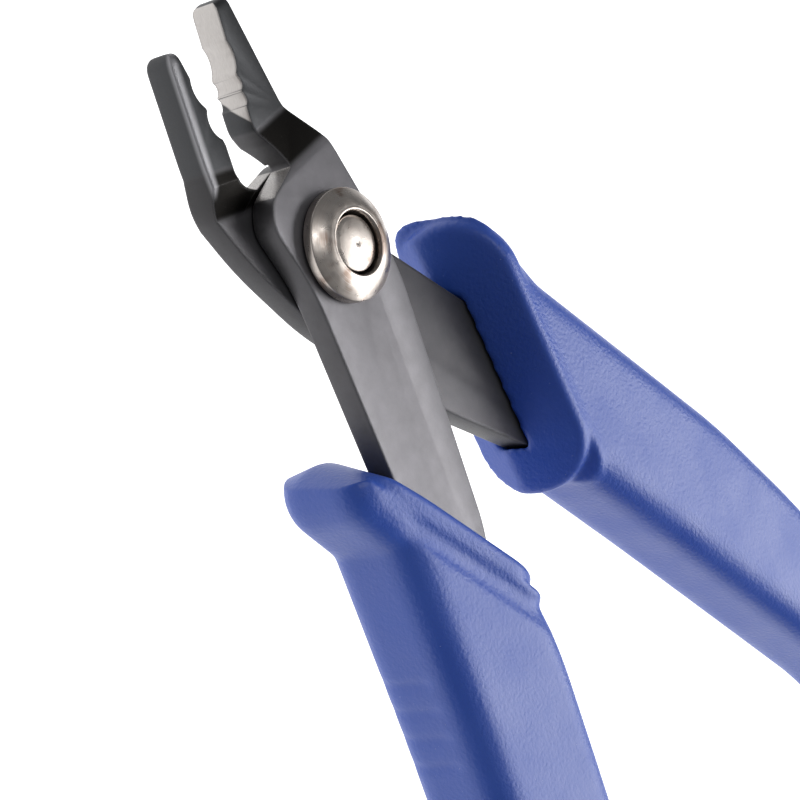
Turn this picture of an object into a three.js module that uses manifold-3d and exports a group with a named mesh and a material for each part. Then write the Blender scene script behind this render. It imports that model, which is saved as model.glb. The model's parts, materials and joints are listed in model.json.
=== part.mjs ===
// Crimping pliers for jewellery wire: two flat steel levers lapped at a pivot, an offset jaw on each,
// a threaded pivot bolt with a domed nut, and a moulded grip pushed onto each handle tang.
//
// Frame: millimetres, +Z is the plates' face normal on the nut side, +X runs along the front lever's
// jaw towards its tip. The levers are shown with the mouth open. Shapes are drawn about the pivot,
// and the finished group is shifted so that the origin is the centre of the underside of its box.

import * as THREE from 'three';
import { mergeVertices } from 'three/addons/utils/BufferGeometryUtils.js';
import Module from 'manifold-3d';

// ---- driving dimensions, mm and degrees ----
const PLATE_THICKNESS = 3.0;      // each lever's stamped plate
const LAP_GAP = 0.3;              // between the two plates at the pivot
const JAW_THICKNESS = 3.6;        // jaws, centred on the parting plane
const JAW_LENGTH = 28.0;          // pivot to jaw tips
const JAW_GAP = 0.3;              // left between the mating faces when shut
const REST_OPENING = 16.5;        // degrees that the rear lever stands open
const TIP_ROUNDING = 1.1;         // jaw tips, towards both faces
const MATING_ANGLE = -18.5;       // degrees, mating line of the shut jaws from +X
const MATING_OFFSET = 6.16;       // mating line's distance from the pivot
const MATING_MIDDLE = 19.0;       // its middle point, along the line from the pivot
const JAW_OUTER_WIDTH = 4.6;      // front jaw's outer edge from the pivot line
const REAR_JAW_ANGLE = -17;       // degrees, rear jaw's outer edge from +X, as shown
const REAR_JAW_OUTER = 14.1;      // rear jaw's outer edge from a parallel through the pivot
const REAR_JAW_LENGTH = 23.9;     // rear jaw's tip, along its own direction

const JOGGLE_LENGTH = 5.5;        // slope from plate face to jaw face
const JOGGLE_LAG = 1.5;           // the slope on the lap side starts this much nearer the pivot
const LAP_SLOPE_LENGTH = 3.4;     // slope on the lap side
const FRONT_JOGGLE_FOOT = 15.0;   // where the front jaw's flat face starts, along its jaw
const REAR_JOGGLE_FOOT = 11.5;    // the same on the rear jaw
const HUB_RADIUS = 10.5;          // sweep of a plate's front edge about the pivot
const HUB_CLEARANCE = 0.4;        // between that sweep and the other lever's step
const HUB_HALF_WIDTH = 6.6;       // plate, either side of the pivot
const FRONT_TANG_ANGLE = 13;      // degrees, front tang behind the pivot, from -X towards +Y
const REAR_TANG_ANGLE = -31;      // degrees, rear tang
const TANG_WIDTH = 8.0;           // plate inside the grip
const TANG_LENGTH = 88.0;         // pivot to the end of the tang
const TANG_CLEARANCE = 0.35;      // grip pocket around the tang

const ROUND_STATION = 2.7;        // crimp stations, along the mating line from its middle point
const REAR_STATION = -0.9;
const STATION_HALF_WIDTH = 1.65;
const ROUND_DEPTH = 0.45;
const OVAL_DEPTH = 0.65;
const TOOTH_DEPTH = 0.35;

const BOLT_RADIUS = 3.0;
const BORE_CLEARANCE = 0.35;
const BOLT_PROUD = 2.3;           // stud end above the front plate
const BOLT_HEAD_RADIUS = 5.4;
const BOLT_HEAD_HEIGHT = 1.9;
const SEAT_GAP = 0.3;             // under the bolt head and the nut
const NUT_RADIUS = 6.0;
const NUT_WALL_HEIGHT = 1.2;
const NUT_HEIGHT = 2.3;
const NUT_RIM_RADIUS = 3.65;      // edge of the countersink round the stud

const GRIP_THICKNESS = 12.4;
const GRIP_ROUNDING = 3.6;
const GRIP_REACH = 113.0;         // pivot to the end of the grips
const FRONT_FLANGE_LENGTH = 32.2;
const REAR_FLANGE_LENGTH = 33.6;
const FLANGE_THICKNESS = 14.2;
const FLANGE_DEPTH = 3.0;
const FLANGE_ROUNDING = 0.9;
const FLANGE_RAKE = 19;           // degrees that both end faces lean back towards the nut side
const LOWER_RAKE = 15;            // degrees that they lean back the other way below the mould's seam
const SEAM_HEIGHT = -2.4;         // of the mould's seam across the end faces

// ---- derived values ----
const HALF_LAP = LAP_GAP / 2;
const PLATE_FACE = HALF_LAP + PLATE_THICKNESS;
const HALF_JAW = JAW_THICKNESS / 2;
const STEP_RADIUS = HUB_RADIUS + HUB_CLEARANCE;
const BORE_RADIUS = BOLT_RADIUS + BORE_CLEARANCE;
const TALL = 40;                  // height of cutting tools, more than any part
const radians = THREE.MathUtils.degToRad;

const wasm = await Module();
wasm.setup();

// ---- solids ----
function toSolid(geometry) {
  const bare = geometry.index ? geometry.toNonIndexed() : geometry.clone();
  for (const name of Object.keys(bare.attributes)) {
    if (name !== 'position') bare.deleteAttribute(name);
  }
  const merged = mergeVertices(bare, 1e-4);
  return new wasm.Manifold(new wasm.Mesh({
    numProp: 3,
    vertProperties: Float32Array.from(merged.attributes.position.array),
    triVerts: Uint32Array.from(merged.index.array),
  }));
}

function toGeometry(solid) {
  const mesh = solid.getMesh();
  const geometry = new THREE.BufferGeometry();
  geometry.setAttribute('position', new THREE.BufferAttribute(mesh.vertProperties, 3));
  geometry.setIndex(new THREE.BufferAttribute(mesh.triVerts, 1));
  geometry.computeVertexNormals();
  return geometry;
}

// closed outline through corners [x, y, how far the corner is rounded]
function roundedOutline(corners) {
  const shape = new THREE.Shape();
  corners.forEach(([x, y, round = 0], i) => {
    const corner = new THREE.Vector2(x, y);
    const before = new THREE.Vector2(...corners.at(i - 1).slice(0, 2));
    const after = new THREE.Vector2(...corners[(i + 1) % corners.length].slice(0, 2));
    const start = before.sub(corner).setLength(round).add(corner);
    const end = after.sub(corner).setLength(round).add(corner);
    if (i === 0) shape.moveTo(start.x, start.y);
    else shape.lineTo(start.x, start.y);
    if (round > 0) shape.quadraticCurveTo(x, y, end.x, end.y);
  });
  return shape;
}

function slab(shape, low, high, curveSegments = 6) {
  const options = { depth: high - low, bevelEnabled: false, curveSegments };
  return toSolid(new THREE.ExtrudeGeometry(shape, options).translate(0, 0, low));
}

function pillar(x, y, radius, low, high, sides = 48) {
  const geometry = new THREE.CylinderGeometry(radius, radius, high - low, sides);
  geometry.rotateX(Math.PI / 2).translate(x, y, (low + high) / 2);
  return toSolid(geometry);
}

function turned(points, sides) {
  const profile = points.map(([radius, z]) => new THREE.Vector2(radius, z));
  return new THREE.LatheGeometry(profile, sides).rotateX(Math.PI / 2);
}

function mesh(name, geometry, color, roughness, metalness) {
  const material = new THREE.MeshStandardMaterial({ color, roughness, metalness });
  const piece = new THREE.Mesh(geometry, material);
  piece.name = name;
  return piece;
}

// ---- places ----
// a point on a line at some angle through the pivot, and the same line moved sideways
function polar(angle, along, aside = 0) {
  const turn = radians(angle);
  const x = along * Math.cos(turn) - aside * Math.sin(turn);
  const y = along * Math.sin(turn) + aside * Math.cos(turn);
  return [x, y];
}

// the mating line of the shut jaws; along = 0 is its middle point, plus is towards the tips
function mating(along, aside = 0, opening = 0) {
  return polar(MATING_ANGLE + opening, MATING_MIDDLE + along, MATING_OFFSET + aside);
}

// a point just inside the plates' round front edge
const hub = (angle, inside) => polar(angle, HUB_RADIUS - inside);

const behind = (angle, along, aside = 0) => polar(180 - angle, along, -aside);

// ---- levers ----
// cross-section of a lever along its jaw: plate on one side of the lap, jaw centred on it
function sideProfile(foot, tip, side) {
  const shape = new THREE.Shape();
  const inner = foot - JOGGLE_LAG;
  const face = side * HALF_JAW;
  const turn = side * TIP_ROUNDING;
  shape.moveTo(-GRIP_REACH, side * HALF_LAP);
  shape.lineTo(-GRIP_REACH, side * PLATE_FACE);
  shape.lineTo(foot - JOGGLE_LENGTH, side * PLATE_FACE);
  shape.lineTo(foot, face);
  shape.lineTo(tip - TIP_ROUNDING, face);
  shape.quadraticCurveTo(tip, face, tip, face - turn);
  shape.lineTo(tip, turn - face);
  shape.quadraticCurveTo(tip, -face, tip - TIP_ROUNDING, -face);
  shape.lineTo(inner, -face);
  shape.lineTo(inner - LAP_SLOPE_LENGTH, side * HALF_LAP);
  return shape;
}

function joggled(plan, foot, tip, side, jawAngle) {
  const across = new THREE.ExtrudeGeometry(sideProfile(foot, tip, side), {
    depth: 2 * GRIP_REACH,
    bevelEnabled: false,
    curveSegments: 5,
  });
  across.translate(0, 0, -GRIP_REACH).rotateX(Math.PI / 2).rotateZ(radians(jawAngle));
  const blank = slab(plan, -PLATE_FACE, PLATE_FACE).intersect(toSolid(across));
  const [low, high] = side > 0 ? [-TALL, HALF_LAP] : [-HALF_LAP, TALL];
  const swept = pillar(0, 0, STEP_RADIUS, low, high, 96);
  const bore = pillar(0, 0, BORE_RADIUS, -TALL, TALL);
  return blank.subtract(swept).subtract(bore);
}

// a round notch of this half width and depth, standing on the mating line
function notch(along, halfWidth, depth, side, opening, gap) {
  const radius = (halfWidth * halfWidth + depth * depth) / (2 * depth);
  const [x, y] = mating(along, gap + side * (radius - depth), opening);
  return pillar(x, y, radius, -TALL, TALL, 64);
}

function tangEnd(angle) {
  const half = TANG_WIDTH / 2;
  return [
    [...behind(angle, TANG_LENGTH, half), 2],
    [...behind(angle, TANG_LENGTH, -half), 2],
  ];
}

// each handle from the hub back: its outer edge, its tang and its inner edge
const FRONT_HANDLE = [
  [-1, HUB_HALF_WIDTH - 0.1, 3],
  [-21, 10, 2],
  [-27, 10.9],
  ...tangEnd(FRONT_TANG_ANGLE),
  [-38, 3.9],
  [-34.5, 1.9, 2],
  [-7, -HUB_HALF_WIDTH + 0.7, 2],
];
const REAR_HANDLE = [
  [-6.2, 5.5, 3],
  [-24, -5.4, 3],
  [-34, -13.5, 2],
  [-37.5, -17],
  ...tangEnd(REAR_TANG_ANGLE),
  [-22, -19.5],
  [-15.7, -15.7, 2],
  [-1.5, -HUB_HALF_WIDTH - 0.2, 3],
];

function frontLever() {
  const plan = roundedOutline([
    ...FRONT_HANDLE,
    [0, -HUB_HALF_WIDTH, 3],
    [FRONT_JOGGLE_FOOT - JOGGLE_LENGTH, -HUB_HALF_WIDTH + 0.3, 1.5],
    [FRONT_JOGGLE_FOOT, -JAW_OUTER_WIDTH + 0.6, 1],
    [JAW_LENGTH, -JAW_OUTER_WIDTH, 1.15],
    [...mating(8.4), 0.5],
    mating(-3.2),
    [15.3, 1.3, 0.8],
    [12.3, 0.5, 1],
    [HUB_RADIUS - 0.4, 0.4, 0.5],
    [...hub(30.8, 0.15), 1],
    [...hub(47.9, 0.8), 1.5],
  ]);
  const blank = joggled(plan, FRONT_JOGGLE_FOOT, JAW_LENGTH, 1, 0);
  const tooth = STATION_HALF_WIDTH / 2;
  return blank
    .subtract(notch(ROUND_STATION, STATION_HALF_WIDTH, ROUND_DEPTH, 1, 0, 0))
    .subtract(notch(REAR_STATION + tooth, tooth - 0.05, TOOTH_DEPTH, 1, 0, 0))
    .subtract(notch(REAR_STATION - tooth, tooth - 0.05, TOOTH_DEPTH, 1, 0, 0));
}

function rearLever() {
  const jaw = (along, aside) => polar(REAR_JAW_ANGLE, along, aside);
  const plan = roundedOutline([
    ...REAR_HANDLE,
    [...hub(-37.8, 0.4), 1.5],
    [...hub(-8.4, 0.2), 1],
    [...hub(20.6, 0.25), 0.6],
    [10.9, 5.6, 0.8],
    [12.6, 6.9, 1],
    mating(-3.2, JAW_GAP, REST_OPENING),
    [...mating(8.2, JAW_GAP, REST_OPENING), 0.45],
    [...jaw(REAR_JAW_LENGTH - 0.7, REAR_JAW_OUTER + 0.1), 1.1],
    [...jaw(12, REAR_JAW_OUTER), 1.5],
    [...jaw(8, REAR_JAW_OUTER - 0.4), 1.6],
    [3.5, 9.1, 3],
  ]);
  const blank = joggled(plan, REAR_JOGGLE_FOOT, REAR_JAW_LENGTH, -1, REAR_JAW_ANGLE);
  return blank
    .subtract(notch(ROUND_STATION, STATION_HALF_WIDTH, ROUND_DEPTH, -1, REST_OPENING, JAW_GAP))
    .subtract(notch(REAR_STATION, STATION_HALF_WIDTH, OVAL_DEPTH, -1, REST_OPENING, JAW_GAP));
}

// ---- pivot hardware ----
function pivotBolt() {
  const under = -PLATE_FACE - SEAT_GAP;
  const crown = under - BOLT_HEAD_HEIGHT;
  const top = PLATE_FACE + BOLT_PROUD;
  return turned([
    [0, crown],
    [BOLT_HEAD_RADIUS * 0.55, crown + 0.15],
    [BOLT_HEAD_RADIUS * 0.88, crown + 0.6],
    [BOLT_HEAD_RADIUS, crown + 1.1],
    [BOLT_HEAD_RADIUS, under],
    [BOLT_RADIUS, under],
    [BOLT_RADIUS, top - 0.4],
    [BOLT_RADIUS - 0.4, top - 0.05],
    [0, top + 0.1],
  ], 56);
}

function pivotNut() {
  const seat = PLATE_FACE + SEAT_GAP;
  const wall = seat + NUT_WALL_HEIGHT;
  const top = seat + NUT_HEIGHT;
  const step = NUT_RADIUS - NUT_RIM_RADIUS;
  return turned([
    [BORE_RADIUS, seat],
    [NUT_RADIUS - 0.15, seat],
    [NUT_RADIUS, seat + 0.15],
    [NUT_RADIUS, wall],
    [NUT_RADIUS - step * 0.2, wall + (top - wall) * 0.5],
    [NUT_RADIUS - step * 0.55, wall + (top - wall) * 0.85],
    [NUT_RIM_RADIUS + 0.15, top],
    [NUT_RIM_RADIUS, top - 0.1],
    [BORE_RADIUS, top - 0.9],
    [BORE_RADIUS, seat],
  ], 64);
}

// ---- grips ----
// the oval end face: a middle point, the direction that its long side runs in, and how it leans
// back above (plus) or below (minus) a line at some height
function endFaceBasis(face, rake, height) {
  const [lx, ly] = face.along;
  const along = new THREE.Vector3(lx, ly, 0).normalize();
  const level = new THREE.Vector3(-along.y, along.x, 0).multiplyScalar(face.side);
  const lean = radians(rake);
  const upright = new THREE.Vector3(0, 0, Math.sin(lean));
  const normal = level.clone().multiplyScalar(Math.cos(lean)).add(upright);
  const up = new THREE.Vector3().crossVectors(normal, along);
  const basis = new THREE.Matrix4().makeBasis(along, up, normal);
  const forward = level.multiplyScalar(-height * Math.tan(radians(FLANGE_RAKE)));
  return basis.setPosition(face.middle[0] + forward.x, face.middle[1] + forward.y, height);
}

// everything beyond a plane, less a depth that is left standing in front of it
function beyond(basis, depth) {
  const block = new THREE.BoxGeometry(4 * TALL, 4 * TALL, 2 * TALL);
  return toSolid(block.translate(0, 0, TALL + depth).applyMatrix4(basis));
}

function racetrack(length, thickness) {
  const round = thickness / 2;
  const straight = length / 2 - round;
  const shape = new THREE.Shape();
  shape.absarc(straight, 0, round, -Math.PI / 2, Math.PI / 2);
  shape.absarc(-straight, 0, round, Math.PI / 2, 3 * Math.PI / 2);
  return shape;
}

function flange(basis, length) {
  const inset = 2 * FLANGE_ROUNDING;
  const oval = racetrack(length - inset, FLANGE_THICKNESS - inset);
  const geometry = new THREE.ExtrudeGeometry(oval, {
    depth: FLANGE_DEPTH - inset,
    bevelThickness: FLANGE_ROUNDING,
    bevelSize: FLANGE_ROUNDING,
    bevelSegments: 3,
    curveSegments: 12,
  });
  geometry.translate(0, 0, FLANGE_ROUNDING - FLANGE_DEPTH).applyMatrix4(basis);
  return toSolid(geometry);
}

// the outline is the grip's widest line; its flat faces are smaller all round by the rounding
function gripBody(outline) {
  const flat = grown(outline, -GRIP_ROUNDING).map(([x, y], i) => {
    return [x, y, Math.max(outline[i][2] - GRIP_ROUNDING, 0.5)];
  });
  const geometry = new THREE.ExtrudeGeometry(roundedOutline(flat), {
    depth: GRIP_THICKNESS - 2 * GRIP_ROUNDING,
    bevelThickness: GRIP_ROUNDING,
    bevelSize: GRIP_ROUNDING,
    bevelSegments: 5,
    curveSegments: 5,
  });
  return toSolid(geometry.translate(0, 0, GRIP_ROUNDING - GRIP_THICKNESS / 2));
}

// the same outline with every edge moved outwards
function grown(corners, by) {
  const points = corners.map(([x, y]) => new THREE.Vector2(x, y));
  const outward = Math.sign(THREE.ShapeUtils.area(points)) * by;
  return points.map((point, i) => {
    const last = point.clone().sub(points.at(i - 1)).normalize();
    const next = points[(i + 1) % points.length].clone().sub(point).normalize();
    const across = new THREE.Vector2(last.y + next.y, -last.x - next.x);
    across.multiplyScalar(outward / (1 + last.dot(next)));
    return [point.x + across.x, point.y + across.y];
  });
}

function tangPocket(handle, side) {
  const plan = roundedOutline(grown(handle, TANG_CLEARANCE));
  const near = HALF_LAP - TANG_CLEARANCE;
  const far = PLATE_FACE + TANG_CLEARANCE;
  return side > 0 ? slab(plan, near, far) : slab(plan, -far, -near);
}

function grip(outline, face, handle, side) {
  const basis = endFaceBasis(face, FLANGE_RAKE, 0);
  return gripBody(outline)
    .subtract(beyond(basis, -FLANGE_DEPTH / 2))
    .add(flange(basis, face.length))
    .subtract(beyond(endFaceBasis(face, -LOWER_RAKE, SEAM_HEIGHT), 0))
    .subtract(tangPocket(handle, side));
}

function frontGrip() {
  const outline = [
    [0, -4, 8],
    [-19, 20, 5],
    [-27.5, 16.4, 5],
    [-48, 21.0, 8],
    [-72, 27.2, 10],
    [-95, 28.6, 9],
    [-GRIP_REACH, 28, 6.5],
    [-GRIP_REACH, 14.4, 6.5],
    [-92, 14.2, 9],
    [-66, 6.4, 8],
    [-52, 2.4, 6],
    [-45.5, 1.4, 3],
    [-28, -9, 8],
  ];
  const face = {
    middle: [-29.1, 6.1],
    along: [-0.881, -0.473],
    side: 1,
    length: FRONT_FLANGE_LENGTH,
  };
  return grip(outline, face, FRONT_HANDLE, 1);
}

function rearGrip() {
  const outline = [
    [-30, -4, 8],
    [-41.2, -15.5, 5],
    [-56.8, -23.9, 8],
    [-74.7, -33.2, 8],
    [-90.9, -41.6, 8],
    [-106.0, -46.1, 6.0],
    [-99.6, -58.7, 6.0],
    [-84, -52.3, 8],
    [-67, -47.3, 9],
    [-50.3, -40.4, 8],
    [-31, -29.9, 6],
    [-19, -23.3, 5],
    [-7.5, -20.2, 5.5],
    [0, -5, 8],
  ];
  const face = {
    middle: [-23.9, -14.85],
    along: [-0.993, 0.12],
    side: -1,
    length: REAR_FLANGE_LENGTH,
  };
  return grip(outline, face, REAR_HANDLE, -1);
}

// ---- assembly ----
const BLACKENED = 0x3c3c40;
const POLISHED = 0xb8b0a8;
const BLUE = 0x4a63b0;

const pliers = new THREE.Group();
pliers.add(
  mesh('front_lever', toGeometry(frontLever()), BLACKENED, 0.4, 0.8),
  mesh('rear_lever', toGeometry(rearLever()), BLACKENED, 0.4, 0.8),
  mesh('pivot_bolt', pivotBolt(), POLISHED, 0.25, 1),
  mesh('pivot_nut', pivotNut(), POLISHED, 0.2, 1),
  mesh('front_grip', toGeometry(frontGrip()), BLUE, 0.45, 0),
  mesh('rear_grip', toGeometry(rearGrip()), BLUE, 0.45, 0),
);

const box = new THREE.Box3().setFromObject(pliers);
const middle = box.getCenter(new THREE.Vector3());
pliers.position.set(-middle.x, -middle.y, -box.min.z);

export default pliers;
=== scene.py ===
import json
import math

import bmesh
import bpy
from mathutils import Matrix, Vector


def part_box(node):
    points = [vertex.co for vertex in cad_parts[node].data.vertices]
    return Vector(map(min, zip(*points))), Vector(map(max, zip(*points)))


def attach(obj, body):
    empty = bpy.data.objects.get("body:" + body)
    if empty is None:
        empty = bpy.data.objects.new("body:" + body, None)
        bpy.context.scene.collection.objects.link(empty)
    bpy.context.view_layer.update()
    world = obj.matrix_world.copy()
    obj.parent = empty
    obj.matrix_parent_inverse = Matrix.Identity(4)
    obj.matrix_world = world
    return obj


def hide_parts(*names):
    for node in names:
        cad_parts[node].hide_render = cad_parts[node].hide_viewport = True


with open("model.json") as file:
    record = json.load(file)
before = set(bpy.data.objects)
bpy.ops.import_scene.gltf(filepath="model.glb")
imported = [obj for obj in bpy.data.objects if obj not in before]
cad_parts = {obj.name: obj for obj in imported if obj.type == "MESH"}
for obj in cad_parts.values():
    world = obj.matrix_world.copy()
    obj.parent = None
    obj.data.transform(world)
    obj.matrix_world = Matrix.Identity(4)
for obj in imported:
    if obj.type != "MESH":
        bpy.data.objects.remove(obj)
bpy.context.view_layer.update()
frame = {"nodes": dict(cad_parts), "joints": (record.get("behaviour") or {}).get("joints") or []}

# ---- levers ----
# Two stamped steel levers, 3 mm plate with thicker jaws, lapped at the pivot. They are tumbled,
# blackened and oiled, then the crimping faces and the two throat edges are ground bright.
MM = 0.001
squeeze = frame["joints"][0]
pivot = Vector(squeeze["pos_m"])
EDGE_BREAK = 0.36          # mm, edges rounded by tumbling
MATING_OFFSET = 6.16       # mm, crimping line of the shut jaws from the pivot
FRONT_MATING_TURN = math.radians(-18.5)
REAR_MATING_TURN = math.radians(-2.0)
FRONT_JAW_TURN = 0.0
REAR_JAW_TURN = math.radians(-17)
FRONT_FOOT = 15.0          # mm along each jaw, where its flat face starts past the slope
REAR_FOOT = 11.5
SLOPE_LENGTH = 4.9         # mm of darker slope before that
GROUND_HEEL = 16.0         # mm along the crimping line, where the ground face starts
GROUND_TIP = 27.7          # mm, where it ends
THROAT_X = (8.4, 11.1)     # mm from the pivot, the stretch of throat that is ground
THROAT_Y = (0.2, 4.9)
WELD_DISTANCE = 0.002      # mm, joins the CAD mesh's doubled points
FRONT_TONE = 0.135         # base grey of the front plate; the rear one is darker
# Painted shade: the rear lever's tone is darker than the front lever's.
REAR_SHADED_TONE = 0.075


def add(tree, kind, inputs=None, **settings):
    """One shader node; an input's value is a number, a colour or another node's socket."""
    made = tree.nodes.new(kind)
    for name, value in settings.items():
        setattr(made, name, value)
    for name, value in (inputs or {}).items():
        if isinstance(value, bpy.types.NodeSocket):
            tree.links.new(value, made.inputs[name])
        else:
            made.inputs[name].default_value = value
    return made


def calc(tree, operation, *values, clamp=False):
    inputs = dict(enumerate(values))
    return add(tree, "ShaderNodeMath", inputs, operation=operation, use_clamp=clamp).outputs[0]


def ramp(tree, value, low, high, to_low=0.0, to_high=1.0):
    inputs = {"Value": value, "From Min": low, "From Max": high}
    inputs.update({"To Min": to_low, "To Max": to_high})
    return add(tree, "ShaderNodeMapRange", inputs, interpolation_type="SMOOTHSTEP").outputs[0]


def between(tree, value, low, high, soft):
    rising = ramp(tree, value, low - soft, low + soft)
    falling = ramp(tree, value, high - soft, high + soft, 1.0, 0.0)
    return calc(tree, "MULTIPLY", rising, falling)


def blend_colour(tree, share, first, second):
    inputs = {0: share, 6: first, 7: second}
    return add(tree, "ShaderNodeMix", inputs, data_type="RGBA").outputs[2]


def noise(tree, where, scale, detail=3.0, roughness=0.55):
    inputs = {"Vector": where, "Scale": scale, "Detail": detail, "Roughness": roughness}
    return add(tree, "ShaderNodeTexNoise", inputs).outputs[0]


def finish_named(name):
    """A new material: its tree, its shader and the place on the piece in mm from the pivot."""
    made = bpy.data.materials.new(name)
    made.use_nodes = True
    tree = made.node_tree
    shader = tree.nodes["Principled BSDF"]
    place = add(tree, "ShaderNodeTexCoord").outputs["Object"]
    shifted = add(tree, "ShaderNodeVectorMath", {0: place, 1: pivot}, operation="SUBTRACT")
    scaled = {0: shifted.outputs[0], "Scale": 1 / MM}
    millimetres = add(tree, "ShaderNodeVectorMath", scaled, operation="SCALE").outputs[0]
    return made, tree, shader, millimetres


def across(tree, vector, direction):
    inputs = {0: vector, 1: direction}
    return add(tree, "ShaderNodeVectorMath", inputs, operation="DOT_PRODUCT").outputs["Value"]


def blackened_steel(name, mating_turn, side, jaw_turn, foot, tone):
    """Black oxide, with painted shade on the slope and the narrow sides, a painted highlight along the
    jaw's outer upper edge, and bright where it is ground.
    """
    made, tree, shader, place = finish_named(name)
    facing = add(tree, "ShaderNodeTexCoord").outputs["Normal"]
    tumbling = noise(tree, place, 0.55)
    grain = noise(tree, place, 9.0, 4.0, 0.7)
    specks = ramp(tree, noise(tree, place, 3.1, 5.0, 0.75), 0.66, 0.74)

    along_joggle = across(tree, place, (math.cos(jaw_turn), math.sin(jaw_turn), 0))
    wide_face = ramp(tree, across(tree, facing, (0, 0, 1)), 0.55, 0.85, 0.25, 1.0)
    # Painted shade: the slope between jaw and hub, on faces that look up, is darkened almost to black.
    slope = between(tree, along_joggle, foot - SLOPE_LENGTH, foot - 0.15, 0.5)
    shaded_slope = calc(tree, "MULTIPLY", slope, wide_face)
    jaw = ramp(tree, along_joggle, foot - 0.3, foot + 0.3)

    normal_in = (-side * math.sin(mating_turn), side * math.cos(mating_turn), 0)
    reach = across(tree, place, normal_in)
    seat = calc(tree, "SUBTRACT", side * MATING_OFFSET, reach)
    near_seat = ramp(tree, seat, 1.25 if side > 0 else 1.1, 1.0, 0.0, 1.0)
    along = across(tree, place, (math.cos(mating_turn), math.sin(mating_turn), 0))
    ground_turn = ramp(tree, across(tree, facing, normal_in), 0.6, 0.8)
    crimp = calc(tree, "MULTIPLY", near_seat, ground_turn)
    parts = add(tree, "ShaderNodeSeparateXYZ", {0: place})
    heel = calc(tree, "MULTIPLY_ADD", parts.outputs[2], 0.75, along)
    crimp = calc(tree, "MULTIPLY", crimp, ramp(tree, heel, GROUND_HEEL, GROUND_HEEL + 0.3))
    before_tip = ramp(tree, along, GROUND_TIP - 0.3, GROUND_TIP, 1.0, 0.0)
    crimp = calc(tree, "MULTIPLY", crimp, before_tip)
    ahead = ramp(tree, across(tree, facing, (1, 0.12, 0)), 0.8, 0.9)
    throat = calc(tree, "MULTIPLY", ahead, between(tree, parts.outputs[0], *THROAT_X, 0.1))
    throat = calc(tree, "MULTIPLY", throat, between(tree, parts.outputs[1], *THROAT_Y, 0.15))
    throat = calc(tree, "MULTIPLY", throat, ramp(tree, grain, 0.42, 0.56, 0.35, 1.0))
    ground = calc(tree, "MAXIMUM", crimp, throat)

    rounded = add(tree, "ShaderNodeBevel", {"Radius": 0.45 * MM}, samples=6).outputs[0]
    flat = add(tree, "ShaderNodeNewGeometry").outputs["Normal"]
    sharpness = calc(tree, "SUBTRACT", 1.0, across(tree, rounded, flat))
    worn = ramp(tree, calc(tree, "MULTIPLY_ADD", tumbling, 0.05, sharpness), 0.05, 0.17)

    worn_tone = (tone * 1.5, tone * 1.45, tone * 1.55, 1)
    plate = blend_colour(tree, tumbling, (tone, tone * 0.97, tone * 1.03, 1), worn_tone)
    # Painted shade: faces that turn away from straight up or down are darkened.
    upright = calc(tree, "ABSOLUTE", across(tree, facing, (0, 0, 1)))
    narrow = ramp(tree, upright, 0.3, 0.8, 0.6, 0.0)
    plate = blend_colour(tree, narrow, plate, (0.018, 0.017, 0.018, 1))
    # Painted shade on the slope.
    darker = blend_colour(tree, shaded_slope, plate, (0.010, 0.009, 0.008, 1))
    jaws = blend_colour(tree, jaw, darker, (0.052, 0.053, 0.056, 1))
    # Painted highlight: a light band along the jaw's outer upper edge.
    outer = across(tree, place, (-math.sin(jaw_turn), math.cos(jaw_turn), 0))
    upper_edge = ramp(tree, parts.outputs[2], 0.9, 1.7)
    ridge_highlight = calc(tree, "MULTIPLY", ramp(tree, outer, 12.9, 13.7), upper_edge)
    lighter = blend_colour(tree, calc(tree, "MULTIPLY", worn, 0.5), jaws, (0.26, 0.255, 0.26, 1))
    lighter = blend_colour(tree, calc(tree, "MULTIPLY", ridge_highlight, 0.75), lighter, (0.34, 0.335, 0.35, 1))
    spotted = calc(tree, "MULTIPLY", specks, ramp(tree, shaded_slope, 0.0, 1.0, 0.12, 0.3))
    flecked = blend_colour(tree, spotted, lighter, (0.30, 0.29, 0.27, 1))
    drawn_out = add(tree, "ShaderNodeMapping", {0: place, 3: (1.0, 1.0, 9.0)}).outputs[0]
    brushed = noise(tree, drawn_out, 1.5)
    bright = blend_colour(tree, brushed, (0.36, 0.34, 0.325, 1), (0.56, 0.53, 0.51, 1))
    tree.links.new(blend_colour(tree, ground, flecked, bright), shader.inputs["Base Color"])

    rough = ramp(tree, grain, 0.3, 0.7, 0.40, 0.52)
    rough = calc(tree, "MULTIPLY_ADD", shaded_slope, 0.1, rough)
    rough = calc(tree, "MULTIPLY_ADD", ground, -0.12, rough)
    tree.links.new(rough, shader.inputs["Roughness"])
    # Painted shade: the slope is made nearly all metal with its near-black colour, so it shows almost no
    # light.
    slope_shade_metal = calc(tree, "MULTIPLY", shaded_slope, 0.97)
    metal = calc(tree, "MAXIMUM", slope_shade_metal, ramp(tree, jaw, 0.0, 1.0, 0.6, 0.8))
    tree.links.new(metal, shader.inputs["Metallic"])
    relief = calc(tree, "MULTIPLY_ADD", grain, 0.6, tumbling)
    bump = {"Height": relief, "Strength": 0.35, "Distance": 0.05 * MM, "Normal": rounded}
    tree.links.new(add(tree, "ShaderNodeBump", bump).outputs[0], shader.inputs["Normal"])
    return made


def tumbled(node):
    """The CAD lever with its edges softened by modifiers; its own points stay where they are."""
    lever = frame["nodes"][node]
    lever.modifiers.new("weld", "WELD").merge_threshold = WELD_DISTANCE * MM
    faces = lever.modifiers.new("flat faces", "DECIMATE")
    faces.decimate_type = "DISSOLVE"
    faces.angle_limit = math.radians(0.4)
    edges = lever.modifiers.new("tumbled edges", "BEVEL")
    edges.width = EDGE_BREAK * MM
    edges.segments = 3
    edges.limit_method = "ANGLE"
    edges.angle_limit = math.radians(28)
    edges.harden_normals = True
    for face in lever.data.polygons:
        face.use_smooth = True
    return lever


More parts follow.
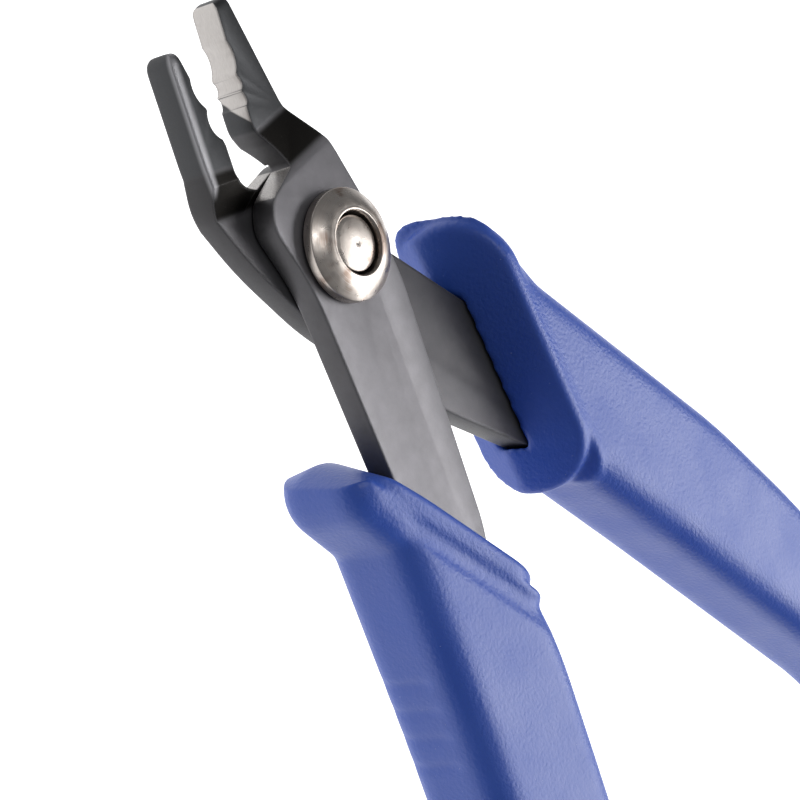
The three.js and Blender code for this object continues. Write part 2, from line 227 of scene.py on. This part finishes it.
front_lever = tumbled("front_lever")
front_lever.data.materials.clear()
front_steel = blackened_steel(
    "blackened front lever", FRONT_MATING_TURN, 1, FRONT_JAW_TURN, FRONT_FOOT, FRONT_TONE
)
front_lever.data.materials.append(front_steel)

rear_lever = tumbled("rear_lever")
rear_lever.data.materials.clear()
# Painted shade: the rear lever is given the darker tone.
rear_steel = blackened_steel(
    "blackened rear lever", REAR_MATING_TURN, -1, REAR_JAW_TURN, REAR_FOOT, REAR_SHADED_TONE
)
rear_lever.data.materials.append(rear_steel)

# ---- pivot bolt and nut ----
# A turned and polished bolt through both plates, its low domed head behind, and a domed nut in front
# whose countersunk mouth shows the end of the stud.
TURNS = 144                # steps round a turned piece


def polished_steel(name):
    made, tree, shader, place = finish_named(name)
    parts = add(tree, "ShaderNodeSeparateXYZ", {0: place})
    flat = add(tree, "ShaderNodeCombineXYZ", {0: parts.outputs[0], 1: parts.outputs[1]})
    length = add(tree, "ShaderNodeVectorMath", {0: flat.outputs[0]}, operation="LENGTH")
    radius = length.outputs["Value"]
    ring_place = add(tree, "ShaderNodeCombineXYZ", {0: radius, 1: parts.outputs[2]}).outputs[0]
    rings = noise(tree, ring_place, 7.0, 5.0, 0.7)
    handling = noise(tree, place, 0.9, 4.0, 0.6)
    # Painted reflection: the warm tint and the large brown patches are warm reflections painted into the
    # colour.
    brown_reflection = ramp(tree, noise(tree, place, 0.33, 2.0, 0.5), 0.5, 0.68)
    warm = blend_colour(tree, handling, (0.54, 0.49, 0.45, 1), (0.38, 0.335, 0.30, 1))
    with_brown_reflection = blend_colour(tree, brown_reflection, warm, (0.24, 0.175, 0.14, 1))
    turning_marks = ramp(tree, rings, 0.45, 0.75)
    marked = blend_colour(tree, turning_marks, with_brown_reflection, (0.50, 0.475, 0.455, 1))
    tree.links.new(marked, shader.inputs["Base Color"])
    tree.links.new(ramp(tree, handling, 0.35, 0.7, 0.27, 0.40), shader.inputs["Roughness"])
    shader.inputs["Metallic"].default_value = 1.0
    bump = {"Height": rings, "Strength": 0.25, "Distance": 0.03 * MM}
    tree.links.new(add(tree, "ShaderNodeBump", bump).outputs[0], shader.inputs["Normal"])
    return made


def turned(name, profile, material, node):
    """A solid of revolution about the pivot from (radius, height) points in mm."""
    drawn = bmesh.new()
    rings = []
    for radius, height in profile:
        if radius == 0:
            rings.append([drawn.verts.new((0, 0, height * MM))])
            continue
        turns = [2 * math.pi * step / TURNS for step in range(TURNS)]
        places = [(radius * math.cos(a) * MM, radius * math.sin(a) * MM, height * MM) for a in turns]
        rings.append([drawn.verts.new(at) for at in places])
    closed = profile[0][0] > 0
    following_rings = rings[1:] + rings[:1] if closed else rings[1:]
    for inner, outer in zip(rings, following_rings):
        for step in range(TURNS):
            following = (step + 1) % TURNS
            corners = [inner[step % len(inner)], outer[step % len(outer)]]
            corners += [outer[following % len(outer)], inner[following % len(inner)]]
            drawn.faces.new(list(dict.fromkeys(corners)))
    bmesh.ops.recalc_face_normals(drawn, faces=drawn.faces)
    mesh = bpy.data.meshes.new(name)
    drawn.to_mesh(mesh)
    drawn.free()
    piece = bpy.data.objects.new(name, mesh)
    mesh.transform(Matrix.Translation(pivot))
    bpy.context.scene.collection.objects.link(piece)
    mesh.materials.append(material)
    for face in mesh.polygons:
        face.use_smooth = True
    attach(piece, "front_half")
    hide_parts(node)


def arc(centre, radius, start, end, steps):
    """Points on an arc in a turned profile, angles in degrees."""
    turns = [math.radians(start + (end - start) * step / steps) for step in range(steps + 1)]
    return [(centre[0] + radius * math.cos(a), centre[1] + radius * math.sin(a)) for a in turns]


nut_low, nut_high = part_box("pivot_nut")
bolt_low, bolt_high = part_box("pivot_bolt")
nut_radius = (nut_high.x - nut_low.x) / 2 / MM
nut_seat = (nut_low.z - pivot.z) / MM
nut_top = (nut_high.z - pivot.z) / MM
stud_top = (bolt_high.z - pivot.z) / MM
head_bottom = (bolt_low.z - pivot.z) / MM
STUD_RADIUS = 3.0
BORE_RADIUS = 3.34         # of the nut, around the stud
MOUTH_RADIUS = 3.6
CROWN_STEPS = 14
CROWN_TURN = 1.45          # radians of the sine that rounds the nut's dome
nut_profile = [(BORE_RADIUS, nut_seat), (nut_radius - 0.2, nut_seat)]
nut_profile += arc((nut_radius - 0.2, nut_seat + 0.2), 0.2, -60, 0, 3)
nut_profile += [(nut_radius, nut_seat + 0.95)]
nut_profile += arc((nut_radius - 0.22, nut_seat + 1.02), 0.22, 5, 55, 4)
shoulder = nut_profile[-1]
rim = (MOUTH_RADIUS + 0.12, nut_top - 0.03)
for step in range(1, CROWN_STEPS + 1):
    share = step / CROWN_STEPS
    radius = shoulder[0] + (rim[0] - shoulder[0]) * share
    height = shoulder[1] + (rim[1] - shoulder[1]) * math.sin(share * CROWN_TURN)
    nut_profile.append((radius, height))
nut_profile += [(MOUTH_RADIUS + 0.02, nut_top), (MOUTH_RADIUS - 0.1, nut_top - 0.01)]
nut_profile += [(MOUTH_RADIUS - 0.17, nut_top - 0.08), (BORE_RADIUS + 0.02, nut_top - 0.5)]
nut_profile += [(BORE_RADIUS, nut_top - 1.0)]
turned("pivot_nut_turned", nut_profile, polished_steel("polished nut"), "pivot_nut")

HEAD_RADIUS = 5.4
HEAD_HEIGHT = 1.9
HEAD_DOME = 1.15           # mm of the head's height that is domed
HEAD_STEPS = 12
HEAD_TURN = 1.35           # radians of the arc that rounds the dome
head_top = head_bottom + HEAD_HEIGHT
bolt_profile = [(0, head_bottom)]
for step in range(1, HEAD_STEPS + 1):
    angle = HEAD_TURN * step / HEAD_STEPS
    radius = HEAD_RADIUS * math.sin(angle) / math.sin(HEAD_TURN)
    height = head_bottom + HEAD_DOME * (1 - math.cos(angle)) / (1 - math.cos(HEAD_TURN))
    bolt_profile.append((radius, height))
bolt_profile += [(HEAD_RADIUS, head_top - 0.15), (HEAD_RADIUS - 0.15, head_top)]
bolt_profile += [(STUD_RADIUS + 0.1, head_top), (STUD_RADIUS, head_top + 0.1)]
bolt_profile += arc((STUD_RADIUS - 0.22, stud_top - 0.52), 0.22, 0, 62, 5)
bolt_profile += [(2.4, stud_top - 0.22), (1.9, stud_top - 0.13), (1.3, stud_top - 0.06)]
bolt_profile += [(0.7, stud_top - 0.02), (0.32, stud_top - 0.01), (0.2, stud_top - 0.05)]
bolt_profile += [(0, stud_top - 0.07)]
turned("pivot_bolt_turned", bolt_profile, polished_steel("polished bolt"), "pivot_bolt")

# ---- grips ----
# A soft vinyl grip moulded for each tang and pushed on tightly. Its mouth ends in a raised rim, its skin
# has a fine orange-peel grain, and the front one has four shallow finger grooves on its outer side.
VOXEL = 0.3                # mm, size of the skin's facets
FIRST_SOFTENING = 4        # smoothing passes before the skin is shaped
LAST_SOFTENING = 7         # and after it


def blue_vinyl(name):
    made, tree, shader, place = finish_named(name)
    patches = noise(tree, place, 0.12, 3.0)
    peel = noise(tree, place, 2.3, 2.5, 0.5)
    skin = blend_colour(tree, patches, (0.017, 0.066, 0.372, 1), (0.024, 0.082, 0.420, 1))
    stretched = add(tree, "ShaderNodeMapping", {0: place, 3: (1.1, 2.6, 2.2)}).outputs[0]
    scratches = ramp(tree, noise(tree, stretched, 1.9, 6.0, 0.8), 0.72, 0.78)
    dust = ramp(tree, noise(tree, place, 3.7, 2.0, 0.5), 0.755, 0.79)
    marks = calc(tree, "MAXIMUM", calc(tree, "MULTIPLY", scratches, 0.4), dust, clamp=True)
    marked = blend_colour(tree, calc(tree, "MULTIPLY", marks, 0.45), skin, (0.42, 0.48, 0.78, 1))
    tree.links.new(marked, shader.inputs["Base Color"])
    tree.links.new(ramp(tree, patches, 0.3, 0.7, 0.40, 0.48), shader.inputs["Roughness"])
    shader.inputs["Specular IOR Level"].default_value = 0.62
    shader.inputs["Subsurface Weight"].default_value = 0.08
    shader.inputs["Subsurface Radius"].default_value = (0.6, 0.7, 1.6)
    shader.inputs["Subsurface Scale"].default_value = 0.6 * MM
    relief = calc(tree, "MULTIPLY_ADD", marks, 0.8, peel)
    bump = {"Height": relief, "Strength": 0.75, "Distance": 0.09 * MM}
    tree.links.new(add(tree, "ShaderNodeBump", bump).outputs[0], shader.inputs["Normal"])
    return made


def settled(piece):
    """The piece's mesh with its modifiers worked in."""
    depsgraph = bpy.context.evaluated_depsgraph_get()
    mesh = bpy.data.meshes.new_from_object(piece.evaluated_get(depsgraph))
    piece.modifiers.clear()
    piece.data = mesh
    return mesh


def soften(piece, passes):
    soft = piece.modifiers.new("soft edges", "SMOOTH")
    soft.factor = 0.5
    soft.iterations = passes


def moulded(name, node, shape_skin, body):
    """The grip's skin: the CAD grip's volume, softened where faces meet and shaped by given rules."""
    piece = bpy.data.objects.new(name, frame["nodes"][node].data.copy())
    bpy.context.scene.collection.objects.link(piece)
    piece.modifiers.new("weld", "WELD").merge_threshold = WELD_DISTANCE * MM
    skin = piece.modifiers.new("skin", "REMESH")
    skin.mode = "VOXEL"
    skin.voxel_size = VOXEL * MM
    soften(piece, FIRST_SOFTENING)
    mesh = settled(piece)
    smooth = [(vertex.co.copy(), vertex.normal.copy()) for vertex in mesh.vertices]
    shaped = [pivot + shape_skin((at - pivot) / MM, normal) * MM for at, normal in smooth]
    mesh.vertices.foreach_set("co", [value for at in shaped for value in at])
    mesh.update()
    soften(piece, LAST_SOFTENING)
    mesh = settled(piece)
    mesh.materials.clear()
    mesh.materials.append(blue_vinyl(name + " blue"))
    for face in mesh.polygons:
        face.use_smooth = True
    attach(piece, body)
    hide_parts(node)


def window(value, low, high, soft):
    """1 between low and high, easing to 0 over a soft margin outside them."""
    outside = max(low - value, value - high, 0.0) / soft
    return 0.0 if outside >= 1 else (1 - outside * outside) ** 2


UPPER_LEAN = math.tan(math.radians(19))   # of both end faces, above the mould's seam
LOWER_LEAN = math.tan(math.radians(15))   # and below it, the other way
SEAM_HEIGHT = -2.4         # mm, the mould's seam across both end faces
FRONT_FACE = (Vector((-29.1, 6.1, 0)), Vector((0.473, -0.881, 0)))
REAR_FACE = (Vector((-23.9, -14.85, 0)), Vector((0.12, 0.993, 0)))
FRONT_ALONG = Vector((0.881, 0.473, 0))   # along the front face, towards its outer end
NOSE_CORNER = (9.3, 6.5)   # mm along and behind the front face, centre of the round nose
NOSE_RADIUS = 6.5
LIP_END = 1.9              # mm behind the face that the raised lip reaches
UPPER_LIP = 0.25           # mm that the front grip's lip is raised on the nut side
LOWER_LIP = 0.15           # and on the side that the tool lies on
REAR_LIP = 0.12
GROOVE_DEPTH = 0.36
FINGER_STEP = 3.1          # mm between the finger grooves
FINGER_DEPTH = 0.24
FINGER_STRETCH = (-52.0, -41.0)           # mm, x where the grooves lie
FINGER_BAND = (-3.4, 0.6)  # mm, their height on the grip's side
FIRST_FINGER = -41.9       # mm, x of the groove nearest the mouth


def behind_face(at, face):
    """Depth in mm behind a grip's end face, which leans two ways from its seam."""
    middle, outward = face
    upper = -max(at.z, SEAM_HEIGHT) * UPPER_LEAN
    lower = min(at.z - SEAM_HEIGHT, 0) * LOWER_LEAN
    return upper + lower - (at - middle).dot(outward)


def rounded_nose(at, face, along, corner, radius):
    """Brings the outer end of a grip's mouth inside a round corner of the face's outline."""
    over = (at - face[0]).dot(along) - corner[0]
    deep = corner[1] - behind_face(at, face)
    reach = math.hypot(over, deep)
    if over <= 0 or deep <= 0 or reach <= radius:
        return at
    kept = radius / reach
    return at - along * over * (1 - kept) - face[1] * deep * (1 - kept)


def front_skin(at, normal):
    """Lip, groove behind it, finger grooves and round nose of the front grip."""
    depth = behind_face(at, FRONT_FACE)
    outwards = (at - FRONT_FACE[0]).dot(FRONT_ALONG)
    away_from_nose = window(outwards, -30, 4, 7)
    wide_face = min(abs(normal.z) * 1.6, 1.0) * away_from_nose
    away_from_end = window(outwards, -13, 4, 6)
    groove = GROOVE_DEPTH * window(depth, 3.2, 3.8, 1.5) * wide_face * away_from_end
    raised = UPPER_LIP if normal.z > 0 else LOWER_LIP
    lip = raised * window(depth, -1.0, LIP_END, 0.8) * wide_face
    shift = lip - groove
    if normal.y > 0.3:
        ridges = math.cos((at.x - FIRST_FINGER) * 2 * math.pi / FINGER_STEP)
        reach = window(at.x, *FINGER_STRETCH, 1.2) * window(at.z, *FINGER_BAND, 2.4)
        shift -= FINGER_DEPTH * (0.5 + 0.5 * ridges) ** 3 * reach
    return rounded_nose(at + normal * shift, FRONT_FACE, FRONT_ALONG, NOSE_CORNER, NOSE_RADIUS)


def rear_skin(at, normal):
    """The rear grip's lip."""
    depth = behind_face(at, REAR_FACE)
    wide_face = min(abs(normal.z) * 1.6, 1.0)
    return at + normal * REAR_LIP * window(depth, -1.0, LIP_END, 0.8) * wide_face


moulded("front_grip_moulded", "front_grip", front_skin, "front_half")
moulded("rear_grip_moulded", "rear_grip", rear_skin, "rear_half")

# ---- floor and light ----
# A pale, glowing table top some way below the tool, a large softbox across the tool from the
# camera, a small one overhead and a dim room, so that the plate faces shine and the edges towards
# the camera stay dark.
FLOOR_DROP = 0.14          # m below the tool
FLOOR_SIZE = 6.0           # m


def flat_sheet(name, size, height):
    half = size / 2
    corners = [(-half, -half, height), (half, -half, height), (half, half, height), (-half, half, height)]
    mesh = bpy.data.meshes.new(name)
    mesh.from_pydata(corners, [], [(0, 1, 2, 3)])
    sheet = bpy.data.objects.new(name, mesh)
    bpy.context.scene.collection.objects.link(sheet)
    return sheet


floor = flat_sheet("floor", FLOOR_SIZE, -FLOOR_DROP)
pale = bpy.data.materials.new("pale table")
pale.use_nodes = True
table = pale.node_tree.nodes["Principled BSDF"]
table.inputs["Base Color"].default_value = (0.8, 0.8, 0.8, 1)
table.inputs["Roughness"].default_value = 0.9
table.inputs["Emission Color"].default_value = (1, 1, 1, 1)
table.inputs["Emission Strength"].default_value = 0.85
floor.data.materials.append(pale)


def softbox(name, direction, distance, width, height, power):
    """An oblong lamp in metres and watts, in a direction from the pivot and turned to face it."""
    lamp = bpy.data.lights.new(name, "AREA")
    lamp.shape = "RECTANGLE"
    lamp.size = width
    lamp.size_y = height
    lamp.energy = power
    box = bpy.data.objects.new(name, lamp)
    away = Vector(direction).normalized()
    box.location = pivot + away * distance
    box.rotation_euler = away.to_track_quat("Z", "Y").to_euler()
    bpy.context.scene.collection.objects.link(box)


softbox("side softbox", (-0.62, -0.55, 0.60), 0.9, 0.75, 0.75, 8.5)
softbox("top softbox", (0.35, 0.1, 0.93), 1.1, 0.35, 0.35, 2)
room = bpy.data.worlds.new("room")
room.use_nodes = True
room.node_tree.nodes["Background"].inputs["Color"].default_value = (0.95, 0.97, 1.0, 1)
room.node_tree.nodes["Background"].inputs["Strength"].default_value = 0.22
bpy.context.scene.world = room
bpy.context.scene.view_settings.view_transform = "Standard"

# ---- camera ----
# A long lens above the open side of the handles, turned so that the jaws point up and the
# plates lean.
VIEW_RIGHT = Vector((-0.4641, -0.4892, 0.7389))
VIEW_UP = Vector((0.8178, -0.5576, 0.1445))
VIEW_BACK = Vector((0.3413, 0.6713, 0.6588))
EYE = Vector((73.03, 180.46, 176.69)) * MM   # from the pivot
lens = bpy.data.cameras.new("camera")
lens.sensor_width = 36
lens.lens = 113.5
camera = bpy.data.objects.new("camera", lens)
turn = Matrix((VIEW_RIGHT, VIEW_UP, VIEW_BACK)).transposed().to_4x4()
camera.matrix_world = Matrix.Translation(pivot + EYE) @ turn
lens.clip_start = 0.01
lens.clip_end = 10
bpy.context.scene.collection.objects.link(camera)
bpy.context.scene.camera = camera
